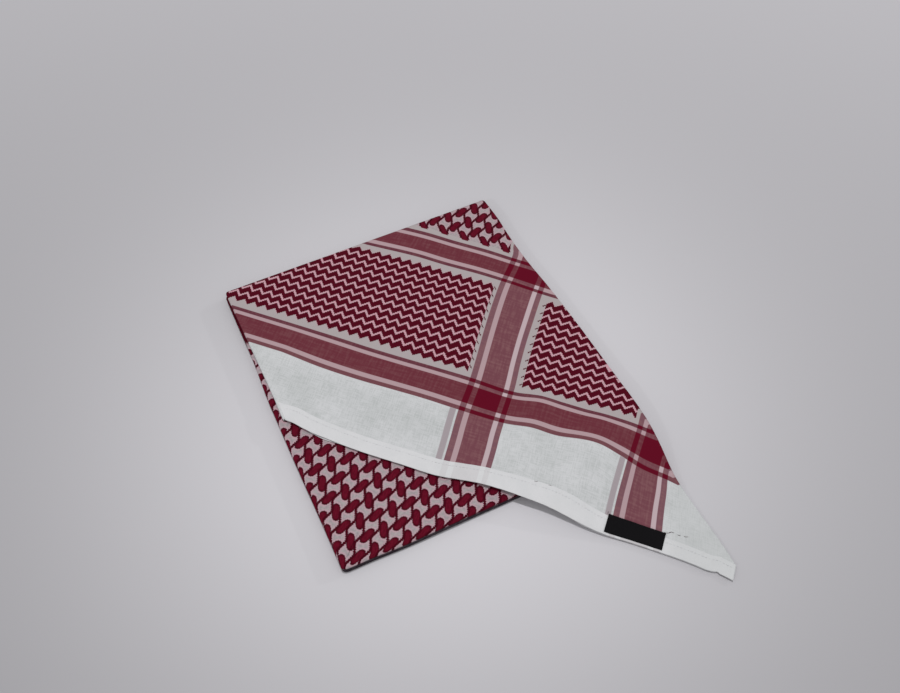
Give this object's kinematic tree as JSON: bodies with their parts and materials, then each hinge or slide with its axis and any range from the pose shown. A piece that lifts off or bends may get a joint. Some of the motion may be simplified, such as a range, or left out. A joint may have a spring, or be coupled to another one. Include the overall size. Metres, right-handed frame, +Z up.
{
  "type": "folded keffiyeh headscarf",
  "caption": "Square cotton keffiyeh folded into a flat pack, with one hemmed corner laid back over it and past its front edge.",
  "frame": {"origin": "centre of the outline's box, on the surface that the scarf lies on", "axes": "+Y to the back along the folded strip, +X to the right across it, +Z up off the table"},
  "size_m": [0.332, 0.506, 0.0207],
  "materials": {
    "patterned_cotton": "woven cotton, maroon on white, matt",
    "white_cotton": "woven cotton, white, matt",
    "black_label": "dense black satin-woven tape, plain"
  },
  "bodies": {
    "root": {"pack": "patterned_cotton", "flap": "patterned_cotton", "hem_upper": "white_cotton", "hem_lower": "white_cotton", "label": "black_label"}
  },
  "joints": []
}
